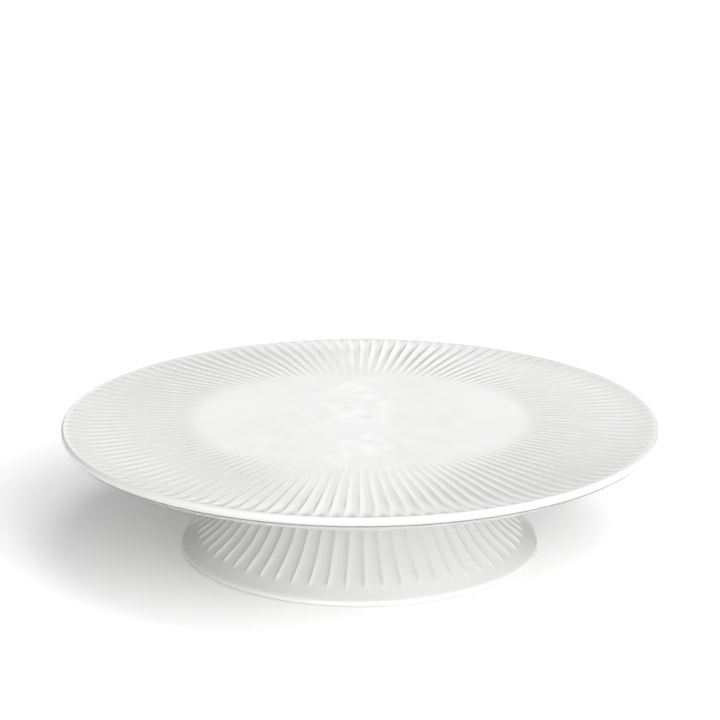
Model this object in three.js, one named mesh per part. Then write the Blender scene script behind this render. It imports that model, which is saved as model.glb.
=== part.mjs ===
// A round porcelain cake stand: a wide fluted plate on a low, hollow, trumpet-shaped fluted foot.
// The two castings are joined before firing by a ring of luting slip.
// Units are millimetres, +Z is up, and the origin is on the table under the centre of the plate.
// The front of the stand is towards -Y.

import * as THREE from "three";

// Overall sizes
const plateDiameter = 330;
const standHeight = 73;
const footDiameter = 200.4;
const neckDiameter = 119.2;

// Plate
const webThickness = 6.5; // between the foot and the turned-down edge
const rimBandWidth = 2; // smooth band outside the flutes
const rimBeadHeight = 4.6; // rounded outer bead, from its top down to the crease
const beadUndercut = 1.8; // how far the bead's lowest point is set in from the edge
const creaseDepth = 3.6; // reach of the narrow crease under the bead, in from the edge
const creaseGap = 0.8;
const apronDepth = 11; // lowest point of the turned-down edge, below the rim
const apronInset = 15; // that point's distance in from the plate's edge
const apronInnerSlope = 11; // width over which the edge rises again to the web
const plateFlutes = 132;
const plateFluteDepth = 1.1;
const plateFluteStart = 82.5; // radius where the flutes grow out of the flat centre
const plateFluteRunOut = 21; // length over which they rise again to the rim band

// Foot
const footWall = 4.6;
const flareLength = 20; // height over which the trumpet's spread falls to 1/e
const skirtWidth = 8.5; // smooth skirt between the foot's edge and the tips of its ridges
const skirtRise = 7.4; // height of those tips above the table
const lipHeight = 3.7; // rounded edge at the bottom of the skirt
const lipReach = 1.6; // how far that edge stands out past the skirt
const standingRingInset = 1.5; // from the foot's edge to the ring that it stands on
const standingRingWidth = 4;
const footFlutes = 58;
const footRidgeHeight = 1.5; // ridges above the flutes' floors, where the foot is widest
const footRidgeRamp = 4; // height over which a ridge rises from its tip
const neckBand = 3; // plain band above the ridges, under the plate

// Joint
const slipThickness = 1.5;
const slipFillet = 3; // reach of the wiped slip along the plate, on each side of the foot's wall

// Places worked out from the sizes
const plateRadius = plateDiameter / 2;
const footRadius = footDiameter / 2;
const neckRadius = neckDiameter / 2;
const undersideHeight = standHeight - webThickness;
const footHeight = undersideHeight - slipThickness;
const tipRadius = footRadius - skirtWidth;

const point = (radius, height) => new THREE.Vector2(radius, height);

function glaze(colour, roughness) {
  return new THREE.MeshStandardMaterial({ color: colour, roughness, metalness: 0 });
}

// Turns two outlines into one body: the ridges follow the first and the flutes' floors the second.
// Both outlines have the same number of points, and firstRidge is the angle of one ridge.
function flutedBody(ridge, floor, flutes, firstRidge) {
  const columns = flutes * 2;
  const geometry = new THREE.LatheGeometry(ridge, columns, firstRidge);
  const position = geometry.getAttribute("position");
  for (let column = 1; column < columns; column += 2) {
    const angle = firstRidge + (column / columns) * Math.PI * 2;
    floor.forEach((place, row) => {
      const index = column * floor.length + row;
      position.setXYZ(index, place.x * Math.sin(angle), place.y, place.x * Math.cos(angle));
    });
  }
  return geometry.rotateX(Math.PI / 2);
}

// Depth of the plate's flutes below their ridges, at a radius.
function plateFluteDepthAt(radius) {
  const end = plateRadius - rimBandWidth;
  const deepest = end - plateFluteRunOut;
  const { clamp } = THREE.MathUtils;
  const grown = clamp((radius - plateFluteStart) / (deepest - plateFluteStart), 0, 1);
  const left = clamp((end - radius) / plateFluteRunOut, 0, 1);
  return plateFluteDepth * grown ** 1.35 * Math.sin((left ** 0.75 * Math.PI) / 2);
}

// The outline below the rim: the flat underside, the turned-down edge and the crease.
function undersideOutline() {
  const lowest = plateRadius - apronInset;
  const web = lowest - apronInnerSlope;
  const creaseTop = standHeight - rimBeadHeight;
  return [
    point(0, undersideHeight),
    point(web, undersideHeight),
    point((web + lowest) / 2, standHeight - (webThickness + apronDepth) / 2),
    point(lowest, standHeight - apronDepth),
    point(lowest + apronInset * 0.3, standHeight - apronDepth + 0.9),
    point(plateRadius - beadUndercut * 1.15, creaseTop - creaseGap),
    point(plateRadius - creaseDepth, creaseTop - creaseGap / 2),
  ];
}

// The half-round bead, from the crease up to the smooth band.
function beadOutline() {
  const middle = standHeight - rimBeadHeight / 2;
  const outline = [];
  for (const degrees of [-90, -45, 0, 35, 65]) {
    const angle = THREE.MathUtils.degToRad(degrees);
    const depth = degrees < 0 ? beadUndercut : rimBandWidth;
    const radius = plateRadius - depth * (1 - Math.cos(angle));
    outline.push(point(radius, middle + (rimBeadHeight / 2) * Math.sin(angle)));
  }
  return outline;
}

function topOutline() {
  const end = plateRadius - rimBandWidth;
  const deepest = end - plateFluteRunOut;
  const inwards = (share) => deepest + (plateFluteStart - deepest) * share;
  const radii = [
    end,
    end - plateFluteRunOut * 0.14,
    end - plateFluteRunOut * 0.4,
    deepest,
    inwards(0.25),
    inwards(0.5),
    inwards(0.75),
    plateFluteStart,
    0,
  ];
  return radii.map((radius) => point(radius, standHeight));
}

function makePlate() {
  const below = [...undersideOutline(), ...beadOutline()];
  const top = topOutline();
  const floors = top.map(({ x, y }) => point(x, y - plateFluteDepthAt(x)));
  return flutedBody([...below, ...top], [...below, ...floors], plateFlutes, 0);
}

// Radius of the skirt and of the flutes' floors at a height. Both lie on one trumpet-shaped surface.
function flareRadius(height) {
  const spread = (level) => Math.exp(-(level - skirtRise) / flareLength);
  const atNeck = spread(footHeight);
  return neckRadius + ((tipRadius - neckRadius) * (spread(height) - atNeck)) / (1 - atNeck);
}

// The point at a distance outside the trumpet's surface, measured square to it.
function offFlare(height, distance) {
  const step = 0.01;
  const slope = (flareRadius(height + step) - flareRadius(height)) / step;
  const length = Math.hypot(1, slope);
  return point(flareRadius(height) + distance / length, height - (distance * slope) / length);
}

function footRidgeHeightAt(height) {
  if (height >= footHeight - neckBand) return 0;
  const risen = THREE.MathUtils.clamp((height - skirtRise) / footRidgeRamp, 0, 1);
  const pitchShare = flareRadius(height) / tipRadius; // the flutes narrow towards the neck
  return footRidgeHeight * pitchShare * Math.sqrt(1 - (1 - risen) ** 2);
}

function makeFoot() {
  const rampTop = skirtRise + footRidgeRamp;
  const ridgeTop = footHeight - neckBand;
  const share = (part) => rampTop + (ridgeTop - rampTop) * part;
  const outerHeights = [
    skirtRise,
    skirtRise + footRidgeRamp * 0.3,
    rampTop,
    share(0.12),
    share(0.3),
    share(0.55),
    share(0.95),
    ridgeTop,
    footHeight,
  ];
  const innerHeights = [share(0.8), share(0.4), share(0.15), rampTop, skirtRise];
  const ringOuter = footRadius - standingRingInset;
  const lip = [
    point(ringOuter - standingRingWidth, 0),
    point(ringOuter, 0),
    point(footRadius - lipReach * 0.15, lipHeight * 0.1),
    point(footRadius, lipHeight * 0.35),
    point(footRadius - lipReach * 0.22, lipHeight * 0.75),
    point(footRadius - lipReach, lipHeight),
  ];
  const outline = (riseAt) => [
    ...lip,
    ...outerHeights.map((height) => offFlare(height, riseAt(height))),
    point(neckRadius - footWall, footHeight),
    ...innerHeights.map((height) => offFlare(height, -footWall)),
    lip[0],
  ];
  const quarterPitch = (Math.PI * 2) / footFlutes / 4;
  return flutedBody(outline(footRidgeHeightAt), outline(() => 0), footFlutes, quarterPitch);
}

// The slip between the foot's upper edge and the plate, wiped to a fillet inside and outside.
function makeLutingRing() {
  const inner = neckRadius - footWall;
  const outer = neckRadius;
  const bend = slipFillet * 0.3; // the fillet is hollow, so it stays close to the corner half way
  const middle = footHeight + slipThickness * 0.5;
  const outline = [
    point(inner, footHeight),
    point(outer, footHeight),
    point(outer + bend, middle),
    point(outer + slipFillet, undersideHeight),
    point(inner - slipFillet, undersideHeight),
    point(inner - bend, middle),
    point(inner, footHeight),
  ];
  return new THREE.LatheGeometry(outline, footFlutes * 2).rotateX(Math.PI / 2);
}

const stand = new THREE.Group();

function add(name, geometry, material) {
  const mesh = new THREE.Mesh(geometry, material);
  mesh.name = name;
  stand.add(mesh);
}

const whiteGlaze = glaze(0xf4f4f2, 0.15);
const slipGlaze = glaze(0xeeeeea, 0.2);

add("plate", makePlate(), whiteGlaze);
add("foot", makeFoot(), whiteGlaze);
add("luting_ring", makeLutingRing(), slipGlaze);

export default stand;
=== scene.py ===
"""A white porcelain cake stand: a wide fluted plate on a low, hollow, fluted foot, in a soft studio."""

import math

import bpy
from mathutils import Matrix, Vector


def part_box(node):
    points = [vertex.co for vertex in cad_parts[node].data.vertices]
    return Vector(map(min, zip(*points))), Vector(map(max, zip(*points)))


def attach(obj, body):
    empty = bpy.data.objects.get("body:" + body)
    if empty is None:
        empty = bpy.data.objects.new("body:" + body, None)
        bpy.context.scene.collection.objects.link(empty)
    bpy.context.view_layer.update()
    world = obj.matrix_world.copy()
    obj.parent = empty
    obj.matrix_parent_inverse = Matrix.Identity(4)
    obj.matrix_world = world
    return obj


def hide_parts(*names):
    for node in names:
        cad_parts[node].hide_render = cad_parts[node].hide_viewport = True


MM = 0.001

# Flutes
PLATE_FLUTES = 132
PLATE_FLUTE_DEPTH = 1.1 * MM
FOOT_FLUTES = 58
FOOT_RIDGE_HEIGHT = 1.5 * MM

# The plate's edge, as distances from its rim
RIM_BAND = 2.0 * MM
BEAD_HEIGHT = 4.6 * MM
BEAD_UNDERCUT = 1.8 * MM  # the bead's lowest point
CREASE_DEPTH = 3.6 * MM  # the groove between the bead and the turned-down edge
CREASE_HEIGHT = 0.8 * MM
APRON_INSET = 15 * MM  # the lowest point of the turned-down edge
APRON_SLOPE = 11 * MM  # width over which that edge rises again to the flat underside
FLUTE_RUN_OUT = 21 * MM
FLUTE_START = 82.5 * MM  # from the axis

# The foot
FLARE_LENGTH = 20 * MM
FOOT_WALL = 4.6 * MM
SKIRT_WIDTH = 8.5 * MM
SKIRT_RISE = 7.4 * MM
LIP_HEIGHT = 3.7 * MM
LIP_REACH = 1.6 * MM
RING_INSET = 1.5 * MM
RING_WIDTH = 4 * MM
NECK_BAND = 3 * MM
RIDGE_RAMP = 4 * MM

# The joint
SLIP_FILLET = 3 * MM

# Places across a flute, from -1 at one ridge towards 1 at the next, closer together where it bends most
PLATE_ACROSS = (-1, -0.93, -0.8, -0.55, -0.2, 0.2, 0.55, 0.8, 0.93)
FOOT_ACROSS = (-1, -0.95, -0.86, -0.72, -0.5, -0.2, 0.2, 0.5, 0.72, 0.86, 0.95)
ON_AXIS = 1e-6  # a smaller radius than this is one point on the axis

# Colours, linear
PLATE_WHITE = (0.58, 0.58, 0.577)
# The foot is the same porcelain as the plate, painted lighter: painted light for the low light that
# reaches the foot from the front
FOOT_WHITE_PAINTED_LIGHTER = (0.62, 0.62, 0.617)
SLIP_WHITE = (0.6, 0.6, 0.596)
BARE_PORCELAIN = (0.72, 0.70, 0.66)
FLOOR_WHITE = (0.95, 0.95, 0.95)

# Surface of the porcelain
GLAZE_IOR = 1.55
GLAZE_ROUGHNESS = (0.16, 0.22)  # smoothest and roughest
BARE_ROUGHNESS = 0.75
BARE_HEIGHT = 0.15 * MM  # the glaze is wiped off the foot up to here
BARE_EDGE = 0.25 * MM  # height over which the glaze begins

# Lights: azimuth, elevation, spread and strength. Azimuth 0 is behind the camera and 90 at its right.
LIGHTS = {
    "key": (58, 26, 64, 2.3),
    "front": (8, 16, 84, 3.5),
    "top": (60, 74, 30, 0.75),
    "backdrop_left": (-170, 18, 20, 0.14),
    "backdrop_right": (170, 18, 20, 0.14),
    "left_fill": (-60, 12, 40, 0.45),
}
WORLD_STRENGTH = 0.25
FLOOR_HALF_WIDTH = 12

# The camera, as the photographer set it: a long lens, a little above the plate
CAMERA_ELEVATION = math.radians(17.4)
CAMERA_DISTANCE = 8  # in plate radii, from the centre of the plate's top
LENS = 119  # on a 36 mm sensor
VIEW_SHIFT = 0.0799  # the plate's centre lies below the middle of the picture

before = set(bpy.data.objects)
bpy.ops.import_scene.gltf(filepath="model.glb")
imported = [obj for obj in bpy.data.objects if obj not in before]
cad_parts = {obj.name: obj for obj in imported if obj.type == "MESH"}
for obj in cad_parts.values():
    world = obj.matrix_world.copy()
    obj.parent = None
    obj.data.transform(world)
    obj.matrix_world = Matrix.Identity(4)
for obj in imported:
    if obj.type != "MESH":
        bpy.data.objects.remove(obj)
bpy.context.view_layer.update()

plate_low, plate_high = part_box("plate")
foot_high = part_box("foot")[1]
ring_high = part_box("luting_ring")[1]

PLATE_RADIUS = plate_high.x
PLATE_TOP = plate_high.z
APRON_LOW = plate_low.z
UNDERSIDE = ring_high.z
FOOT_TOP = foot_high.z
FOOT_RADIUS = foot_high.x
NECK_RADIUS = ring_high.x - SLIP_FILLET


def smooth(value, low, high):
    """0 below low, 1 above high, and a smooth step between."""
    share = min(max((value - low) / (high - low), 0), 1)
    return share * share * (3 - 2 * share)


def steps(start, end, count, power=1.0):
    """count values from start up to and without end, closer to start if power is over 1."""
    return [start + (end - start) * (i / count) ** power for i in range(count)]


def arc(centre, radii, start, end, count):
    """Points of an ellipse's arc in the (radius, height) plane, angles in degrees, both ends included."""
    points = []
    for i in range(count + 1):
        angle = math.radians(start + (end - start) * i / count)
        radius = centre[0] + radii[0] * math.cos(angle)
        height = centre[1] + radii[1] * math.sin(angle)
        points.append((radius, height))
    return points


def between(p, q, r, s, t):
    """Catmull-Rom: the value at the share t of the way from q to r, with p before them and s after."""
    square = (2 * p - 5 * q + 4 * r - s) * t**2
    cube = (3 * (q - r) + s - p) * t**3
    return 0.5 * (2 * q + (r - p) * t + square + cube)


def curve_through(points, parts):
    """A smooth curve through points, with parts pieces between neighbours."""
    ends = [points[0], *points, points[-1]]
    curve = []
    for four in zip(ends, ends[1:], ends[2:], ends[3:]):
        for i in range(parts):
            curve.append(tuple(between(*values, i / parts) for values in zip(*four)))
    curve.append(points[-1])
    return curve


def skin(rings, closed):
    """The faces between neighbouring rings of vertices. A ring of one vertex is a point on the axis."""
    faces = []
    pairs = list(zip(rings, rings[1:]))
    if closed:
        pairs.append((rings[-1], rings[0]))
    count = max(len(ring) for ring in rings)
    for lower, upper in pairs:
        for i in range(count):
            j = (i + 1) % count
            if len(lower) == 1:
                faces.append((lower[0], upper[j], upper[i]))
            elif len(upper) == 1:
                faces.append((lower[i], lower[j], upper[0]))
            else:
                faces.append((lower[i], lower[j], upper[j], upper[i]))
    return faces


def turned(name, outline, flutes, across, first_ridge, place, closed):
    """A body of revolution. place(radius, height, row, t) moves a point of the outline for its place t
    in a flute; across lists those places, and starts with the ridge."""
    pitch = 2 * math.pi / flutes
    vertices = []
    rings = []
    for row, (radius, height) in enumerate(outline):
        first = len(vertices)
        if radius < ON_AXIS:
            vertices.append((0, 0, height))
        else:
            moved = [place(radius, height, row, t) for t in across]
            for k in range(flutes):
                for t, (r, z) in zip(across, moved):
                    angle = first_ridge + (k + (t + 1) / 2) * pitch
                    vertices.append((r * math.sin(angle), -r * math.cos(angle), z))
        rings.append(range(first, len(vertices)))
    faces = skin(rings, closed)
    mesh = bpy.data.meshes.new(name)
    mesh.from_pydata(vertices, [], faces)
    mesh.polygons.foreach_set("use_smooth", [True] * len(faces))
    mesh.update()
    piece = bpy.data.objects.new(name, mesh)
    bpy.context.scene.collection.objects.link(piece)
    return piece


# Plate


def plate_flute_depth(radius):
    """Depth of the flutes' floors below their ridges."""
    end = PLATE_RADIUS - RIM_BAND
    deepest = end - FLUTE_RUN_OUT
    grown = min(max((radius - FLUTE_START) / (deepest - FLUTE_START), 0), 1)
    left = min(max((end - radius) / FLUTE_RUN_OUT, 0), 1)
    return PLATE_FLUTE_DEPTH * grown**1.35 * math.sin(left**0.75 * math.pi / 2)


def plate_outline():
    """From the axis below, out along the underside, round the edge and back in along the top.
    Also gives the number of points before the flutes."""
    lowest = PLATE_RADIUS - APRON_INSET
    web = lowest - APRON_SLOPE
    groove_top = PLATE_TOP - BEAD_HEIGHT
    groove_low = groove_top - CREASE_HEIGHT
    groove_end = PLATE_RADIUS - CREASE_DEPTH
    underside = [(radius, UNDERSIDE) for radius in (0, 30 * MM, 90 * MM, web - 3 * MM)]
    apron = curve_through(
        [
            (web - 1 * MM, UNDERSIDE),
            (web + 1.5 * MM, UNDERSIDE - 0.4 * MM),
            ((web + lowest) / 2, (UNDERSIDE + APRON_LOW) / 2),
            (lowest - 2 * MM, APRON_LOW + 0.25 * MM),
            (lowest, APRON_LOW),
            (lowest + 4.5 * MM, APRON_LOW + 0.9 * MM),
            (PLATE_RADIUS - 2.7 * MM, groove_low - 0.5 * MM),
            (PLATE_RADIUS - 2.1 * MM, groove_low - 0.1 * MM),
        ],
        3,
    )
    groove = [
        (PLATE_RADIUS - 2.4 * MM, groove_low + 0.02 * MM),
        (groove_end + 0.4 * MM, groove_low + 0.05 * MM),
        (groove_end, (groove_low + groove_top) / 2),
        (groove_end + 0.4 * MM, groove_top - 0.1 * MM),
        (PLATE_RADIUS - 2.4 * MM, groove_top - 0.02 * MM),
    ]
    middle = PLATE_TOP - BEAD_HEIGHT / 2
    half = BEAD_HEIGHT / 2
    below = arc((PLATE_RADIUS - BEAD_UNDERCUT, middle), (BEAD_UNDERCUT, half), -90, 0, 6)
    above = arc((PLATE_RADIUS - RIM_BAND, middle), (RIM_BAND, half), 0, 90, 8)
    edge = apron + groove + below + above[1:]
    end = PLATE_RADIUS - RIM_BAND
    deepest = end - FLUTE_RUN_OUT
    top = steps(end, deepest, 18, 1.5)[1:] + steps(deepest, FLUTE_START, 14)
    top += [FLUTE_START, 60 * MM, 30 * MM, 0]
    return underside + edge + [(radius, PLATE_TOP) for radius in top], len(underside + edge)


def make_plate():
    outline, first_top = plate_outline()

    def place(radius, height, row, t):
        if row < first_top:
            return radius, height
        return radius, height - plate_flute_depth(radius) * (1 - t * t)

    return turned("plate_body", outline, PLATE_FLUTES, PLATE_ACROSS, 0, place, closed=False)


# Foot


def flare_radius(height):
    """Radius of the skirt and of the flutes' floors, which lie on one trumpet-shaped surface."""
    tip_radius = FOOT_RADIUS - SKIRT_WIDTH

    def spread(level):
        return math.exp(-(level - SKIRT_RISE) / FLARE_LENGTH)

    at_neck = spread(FOOT_TOP)
    return NECK_RADIUS + (tip_radius - NECK_RADIUS) * (spread(height) - at_neck) / (1 - at_neck)


def off_flare(height, distance):
    """The point at a distance outside the trumpet's surface, measured square to it."""
    step = 0.01 * MM
    slope = (flare_radius(height + step) - flare_radius(height)) / step
    length = math.hypot(1, slope)
    return flare_radius(height) + distance / length, height - distance * slope / length


def foot_ridge_height(height):
    risen = min(max((height - SKIRT_RISE) / RIDGE_RAMP, 0), 1)
    fading = min(max((FOOT_TOP - NECK_BAND - height) / NECK_BAND, 0), 1)
    pitch_share = flare_radius(height) / (FOOT_RADIUS - SKIRT_WIDTH)
    rounding = math.sqrt(1 - (1 - risen) ** 2) * math.sqrt(1 - (1 - fading) ** 2)
    return FOOT_RIDGE_HEIGHT * pitch_share * rounding


def make_foot():
    """From the inner edge of the standing ring, out, up the outside and down the inside."""
    lip = [
        (FOOT_RADIUS - RING_INSET - RING_WIDTH, 0),
        (FOOT_RADIUS - RING_INSET - RING_WIDTH / 2, 0),
        (FOOT_RADIUS - RING_INSET, 0),
    ]
    lip += curve_through(
        [
            (FOOT_RADIUS - RING_INSET, 0),
            (FOOT_RADIUS - 0.25 * MM, 0.4 * MM),
            (FOOT_RADIUS, LIP_HEIGHT * 0.35),
            (FOOT_RADIUS - 0.35 * MM, LIP_HEIGHT * 0.75),
            (FOOT_RADIUS - LIP_REACH, LIP_HEIGHT),
        ],
        3,
    )[1:]
    skirt = [(flare_radius(h), h) for h in steps(LIP_HEIGHT + 0.5 * MM, SKIRT_RISE, 4)]
    heights = steps(SKIRT_RISE, SKIRT_RISE + RIDGE_RAMP, 8)
    heights += steps(SKIRT_RISE + RIDGE_RAMP, FOOT_TOP - 2 * NECK_BAND, 16)
    heights += steps(FOOT_TOP - 2 * NECK_BAND, FOOT_TOP, 8) + [FOOT_TOP]
    inner_heights = [FOOT_TOP - 3 * MM] + steps(FOOT_TOP - 6 * MM, SKIRT_RISE, 12) + [SKIRT_RISE]
    first_flute = len(lip + skirt)
    outline = lip + skirt + [(flare_radius(h), h) for h in heights]
    last_flute = len(outline)
    outline += [(NECK_RADIUS - FOOT_WALL, FOOT_TOP)]
    outline += [off_flare(h, -FOOT_WALL) for h in inner_heights]

    def place(radius, height, row, t):
        if not first_flute <= row < last_flute:
            return radius, height
        sharpness = 5 - 3 * smooth(height, SKIRT_RISE, SKIRT_RISE + 3 * RIDGE_RAMP)
        return off_flare(height, foot_ridge_height(height) * abs(t) ** sharpness)

    quarter_pitch = 2 * math.pi / FOOT_FLUTES / 4
    return turned("foot_body", outline, FOOT_FLUTES, FOOT_ACROSS, quarter_pitch, place, closed=True)


# Joint


def make_fillet():
    """The luting slip, wiped hollow between the foot's upper edge and the plate."""
    inner = NECK_RADIUS - FOOT_WALL
    height = UNDERSIDE - FOOT_TOP
    outside = arc((NECK_RADIUS + SLIP_FILLET, FOOT_TOP), (SLIP_FILLET, height), 180, 90, 8)
    inside = arc((inner - SLIP_FILLET, FOOT_TOP), (SLIP_FILLET, height), 90, 0, 8)

    def place(radius, height, row, t):
        return radius, height

    return turned("joint_fillet", outside + inside, FOOT_FLUTES * 2, (-1, 0), 0, place, closed=True)


# Materials


def porcelain(name, colour, bare_below=None):
    """Clear glaze over white porcelain. Below bare_below the glaze is wiped off and the body shows."""
    material = bpy.data.materials.new(name)
    material.use_nodes = True
    nodes = material.node_tree.nodes
    link = material.node_tree.links.new
    shader = nodes["Principled BSDF"]
    shader.inputs["IOR"].default_value = GLAZE_IOR
    place = nodes.new("ShaderNodeTexCoord")

    def noise(scale, detail):
        texture = nodes.new("ShaderNodeTexNoise")
        texture.inputs["Scale"].default_value = scale
        texture.inputs["Detail"].default_value = detail
        link(place.outputs["Object"], texture.inputs["Vector"])
        return texture.outputs["Fac"]

    def ramp(source, low, high, from_low=0.35, from_high=0.65):
        spread = nodes.new("ShaderNodeMapRange")
        spread.inputs["From Min"].default_value = from_low
        spread.inputs["From Max"].default_value = from_high
        spread.inputs["To Min"].default_value = low
        spread.inputs["To Max"].default_value = high
        link(source, spread.inputs["Value"])
        return spread.outputs["Result"]

    tint = nodes.new("ShaderNodeMix")
    tint.data_type = "RGBA"
    link(ramp(noise(18, 3), 0, 1), tint.inputs["Factor"])
    tint.inputs["A"].default_value = (*colour, 1)
    tint.inputs["B"].default_value = (colour[0] * 0.985, colour[1] * 0.985, colour[2] * 0.97, 1)
    colour_out = tint.outputs["Result"]
    roughness_out = ramp(noise(120, 2), *GLAZE_ROUGHNESS)
    if bare_below is not None:
        parts = nodes.new("ShaderNodeSeparateXYZ")
        link(place.outputs["Object"], parts.inputs["Vector"])
        bare = ramp(parts.outputs["Z"], 1, 0, bare_below, bare_below + BARE_EDGE)
        body = nodes.new("ShaderNodeMix")
        body.data_type = "RGBA"
        link(bare, body.inputs["Factor"])
        link(colour_out, body.inputs["A"])
        body.inputs["B"].default_value = (*BARE_PORCELAIN, 1)
        colour_out = body.outputs["Result"]
        rough = nodes.new("ShaderNodeMix")
        link(bare, rough.inputs["Factor"])
        link(roughness_out, rough.inputs["A"])
        rough.inputs["B"].default_value = BARE_ROUGHNESS
        roughness_out = rough.outputs["Result"]
    link(colour_out, shader.inputs["Base Color"])
    link(roughness_out, shader.inputs["Roughness"])
    ripple = nodes.new("ShaderNodeBump")
    ripple.inputs["Strength"].default_value = 0.04
    ripple.inputs["Distance"].default_value = 0.3 * MM
    link(noise(60, 2), ripple.inputs["Height"])
    link(ripple.outputs["Normal"], shader.inputs["Normal"])
    return material


def dress(piece, material, node):
    piece.data.materials.append(material)
    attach(piece, "root")
    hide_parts(node)


# Studio


def make_floor():
    mesh = bpy.data.meshes.new("floor")
    half = FLOOR_HALF_WIDTH
    corners = [(-half, -half, 0), (half, -half, 0), (half, half, 0), (-half, half, 0)]
    mesh.from_pydata(corners, [], [(0, 1, 2, 3)])
    floor = bpy.data.objects.new("floor", mesh)
    bpy.context.scene.collection.objects.link(floor)
    material = bpy.data.materials.new("floor_paper")
    material.use_nodes = True
    shader = material.node_tree.nodes["Principled BSDF"]
    shader.inputs["Base Color"].default_value = (*FLOOR_WHITE, 1)
    shader.inputs["Roughness"].default_value = 0.9
    shader.inputs["Specular IOR Level"].default_value = 0
    mesh.materials.append(material)


def make_light(name, azimuth, elevation, width, strength):
    """A soft distant light. The angles and width, its spread, are in degrees."""
    light = bpy.data.lights.new(name, "SUN")
    light.angle = math.radians(width)
    light.energy = strength
    holder = bpy.data.objects.new(name, light)
    bpy.context.scene.collection.objects.link(holder)
    around = math.radians(azimuth)
    up = math.radians(elevation)
    level = math.cos(up)
    outward = Vector((math.sin(around) * level, -math.cos(around) * level, math.sin(up)))
    holder.rotation_euler = outward.to_track_quat("Z", "Y").to_euler()


def make_world(strength):
    world = bpy.data.worlds.new("studio")
    world.use_nodes = True
    background = world.node_tree.nodes["Background"]
    background.inputs["Color"].default_value = (1, 1, 1, 1)
    background.inputs["Strength"].default_value = strength
    bpy.context.scene.world = world


def make_camera():
    camera = bpy.data.cameras.new("camera")
    camera.sensor_width = 36
    camera.lens = LENS
    camera.shift_y = VIEW_SHIFT
    camera.clip_end = 100
    holder = bpy.data.objects.new("camera", camera)
    bpy.context.scene.collection.objects.link(holder)
    outward = Vector((0, -math.cos(CAMERA_ELEVATION), math.sin(CAMERA_ELEVATION)))
    holder.location = Vector((0, 0, PLATE_TOP)) + outward * CAMERA_DISTANCE * PLATE_RADIUS
    holder.rotation_euler = outward.to_track_quat("Z", "Y").to_euler()
    bpy.context.scene.camera = holder


make_camera()
dress(make_plate(), porcelain("plate_porcelain", PLATE_WHITE), "plate")
dress(make_foot(), porcelain("foot_porcelain", FOOT_WHITE_PAINTED_LIGHTER, BARE_HEIGHT), "foot")
dress(make_fillet(), porcelain("joint_porcelain", SLIP_WHITE), "luting_ring")

make_floor()
make_world(WORLD_STRENGTH)
for light_name, settings in LIGHTS.items():
    make_light(light_name, *settings)
bpy.context.scene.view_settings.view_transform = "Standard"
